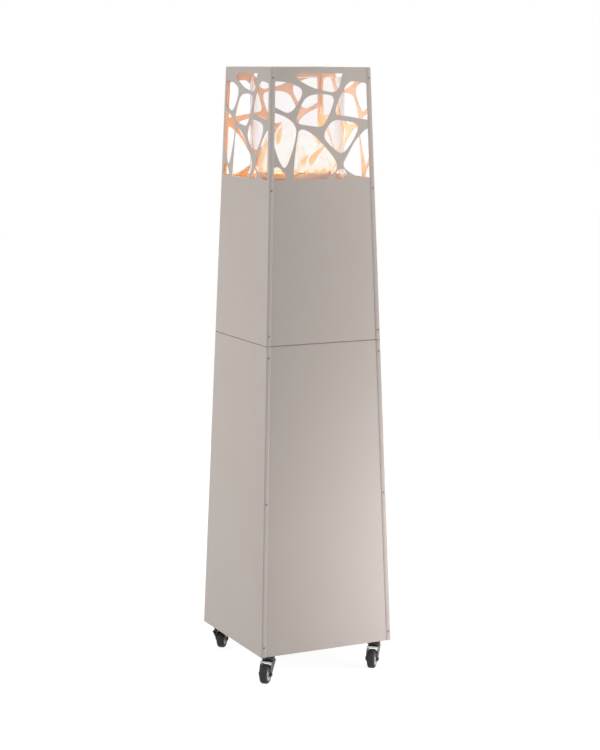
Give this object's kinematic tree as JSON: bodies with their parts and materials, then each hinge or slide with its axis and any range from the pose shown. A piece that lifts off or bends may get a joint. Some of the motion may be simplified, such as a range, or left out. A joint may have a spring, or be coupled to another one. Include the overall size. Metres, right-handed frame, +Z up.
{
  "type": "patio heater",
  "caption": "Tapering square outdoor gas heater on casters, with an open web of cells round a glass flame cylinder and a rear bottle door.",
  "frame": {"origin": "on the floor under the middle of the cabinet", "axes": "+Z up, the front faces -Y, +X is to the right seen from the front"},
  "size_m": [0.3778, 0.3826, 1.554],
  "materials": {
    "taupe_coat": "satin",
    "inner_steel": "satin",
    "zinc": "polished",
    "brass": "satin",
    "tyre_rubber": "matte",
    "hub_plastic": "matte",
    "black_plastic": "satin",
    "glass": "polished",
    "bottle_coat": "gloss",
    "ceramic": "gloss",
    "stone": "matte",
    "hose_rubber": "satin"
  },
  "bodies": {
    "cabinet": {"base_frame": "inner_steel", "bottle_valve": "brass", "burner_deck": "inner_steel", "burner_head": "inner_steel", "burner_tray": "inner_steel", "door_magnet": "black_plastic", "front_left_plate": "zinc", "front_right_plate": "zinc", "gas_bottle": "bottle_coat", "gas_hose": "hose_rubber", "gas_jet": "brass", "gas_valve": "brass", "glass_collar": "inner_steel", "glass_cylinder": "glass", "heat_shield": "inner_steel", "hinge_leaf_lower": "zinc", "hinge_leaf_upper": "zinc", "igniter_body": "black_plastic", "igniter_electrode": "ceramic", "igniter_lead": "hose_rubber", "lower_front_panel": "taupe_coat", "lower_left_panel": "taupe_coat", "lower_right_panel": "taupe_coat", "mid_frame": "inner_steel", "rear_left_plate": "zinc", "rear_right_plate": "zinc", "regulator": "zinc", "stone_bed": "stone", "supply_pipe": "brass", "thermocouple": "brass", "tilt_switch": "black_plastic", "upper_front_panel": "taupe_coat", "upper_left_panel": "taupe_coat", "upper_rear_panel": "taupe_coat", "upper_right_panel": "taupe_coat"},
    "front_left_fork": {"front_left_fork": "zinc", "front_left_axle": "zinc"},
    "front_left_wheel": {"front_left_hub": "hub_plastic", "front_left_tyre": "tyre_rubber"},
    "front_right_fork": {"front_right_fork": "zinc", "front_right_axle": "zinc"},
    "front_right_wheel": {"front_right_hub": "hub_plastic", "front_right_tyre": "tyre_rubber"},
    "rear_left_fork": {"rear_left_fork": "zinc", "rear_left_axle": "zinc"},
    "rear_left_wheel": {"rear_left_hub": "hub_plastic", "rear_left_tyre": "tyre_rubber"},
    "rear_right_fork": {"rear_right_fork": "zinc", "rear_right_axle": "zinc"},
    "rear_right_wheel": {"rear_right_hub": "hub_plastic", "rear_right_tyre": "tyre_rubber"},
    "door": {"rear_door": "taupe_coat", "door_leaf_lower": "zinc", "door_leaf_upper": "zinc", "door_pull": "black_plastic"},
    "tap": {"valve_plug": "brass"},
    "knob": {"control_knob": "black_plastic", "valve_spindle": "zinc"},
    "igniter_push": {"igniter_button": "zinc"},
    "handwheel": {"bottle_handwheel": "black_plastic"}
  },
  "joints": [
    {"name": "front_left_swivel", "type": "hinge", "parent": "cabinet", "child": "front_left_fork", "pos_m": [-0.15305, -0.15305, 0.058], "axis": [0, 0, 1], "continuous": true},
    {"name": "front_left_roll", "type": "hinge", "parent": "front_left_fork", "child": "front_left_wheel", "pos_m": [-0.1668, -0.16729, 0.025], "axis": [0.7193, -0.6947, 0], "continuous": true},
    {"name": "front_right_swivel", "type": "hinge", "parent": "cabinet", "child": "front_right_fork", "pos_m": [0.15305, -0.15305, 0.058], "axis": [0, 0, 1], "continuous": true},
    {"name": "front_right_roll", "type": "hinge", "parent": "front_right_fork", "child": "front_right_wheel", "pos_m": [0.14032, -0.16822, 0.025], "axis": [0.766, -0.6428, 0], "continuous": true},
    {"name": "rear_left_swivel", "type": "hinge", "parent": "cabinet", "child": "rear_left_fork", "pos_m": [-0.15305, 0.15305, 0.058], "axis": [0, 0, 1], "continuous": true},
    {"name": "rear_left_roll", "type": "hinge", "parent": "rear_left_fork", "child": "rear_left_wheel", "pos_m": [-0.14032, 0.16822, 0.025], "axis": [-0.766, 0.6428, 0], "continuous": true},
    {"name": "rear_right_swivel", "type": "hinge", "parent": "cabinet", "child": "rear_right_fork", "pos_m": [0.15305, 0.15305, 0.058], "axis": [0, 0, 1], "continuous": true},
    {"name": "rear_right_roll", "type": "hinge", "parent": "rear_right_fork", "child": "rear_right_wheel", "pos_m": [0.1668, 0.16729, 0.025], "axis": [-0.7193, 0.6947, 0], "continuous": true},
    {"name": "door_hinge", "type": "hinge", "parent": "cabinet", "child": "door", "pos_m": [0.1645, 0.1808, 0.34411], "axis": [0.0328, 0.0328, -0.9989], "range_deg": [0, 110]},
    {"name": "tap_turn", "type": "hinge", "parent": "cabinet", "child": "tap", "pos_m": [0, 0.14973, 1.136], "axis": [0, 0.9995, 0.0328], "range_deg": [-90, 90]},
    {"name": "knob_push", "type": "slide", "parent": "tap", "child": "knob", "axis": [0, -0.9995, -0.0328], "range_m": [0, 0.004], "stiffness_N_per_m": 800},
    {"name": "igniter_press", "type": "slide", "parent": "cabinet", "child": "igniter_push", "axis": [0, -0.9995, -0.0328], "range_m": [0, 0.005], "stiffness_N_per_m": 1000},
    {"name": "handwheel_turn", "type": "hinge", "parent": "cabinet", "child": "handwheel", "pos_m": [0, 0, 0.66], "axis": [0, 0, 1], "range_deg": [-540, 0]}
  ]
}
